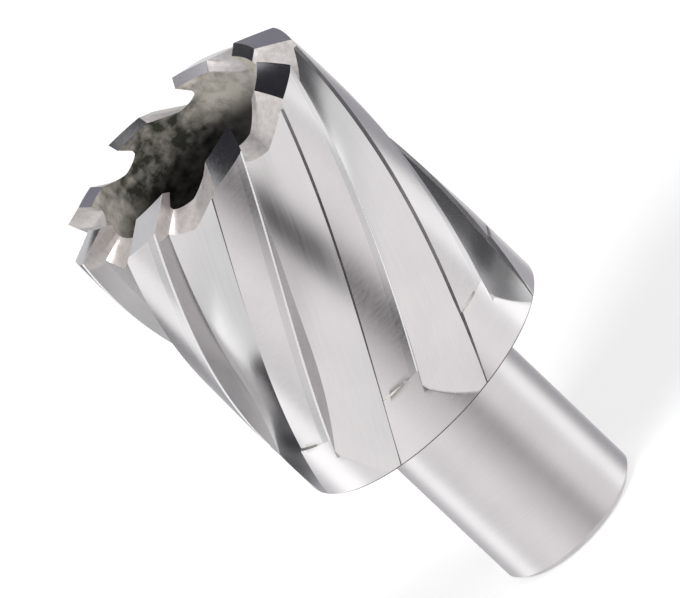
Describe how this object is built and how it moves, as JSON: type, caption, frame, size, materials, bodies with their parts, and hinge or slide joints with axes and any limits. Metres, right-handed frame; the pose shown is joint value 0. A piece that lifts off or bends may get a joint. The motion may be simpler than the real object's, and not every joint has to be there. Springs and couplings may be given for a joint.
{
  "type": "annular cutter",
  "caption": "Ring-shaped hole cutter with a hollow cup, helical flutes, gulleted end teeth and a plain clamping shank with side flats and a pilot bore.",
  "frame": {"origin": "centre of the shank's end face, where the tool stands", "axes": "+Z along the tool axis from the shank end to the teeth, -Y towards the viewer of the picture"},
  "size_m": [0.035, 0.035, 0.0668],
  "materials": {
    "tool_steel": "ground and polished tool steel"
  },
  "bodies": {
    "root": {"annular_cutter": "tool_steel"}
  },
  "joints": []
}
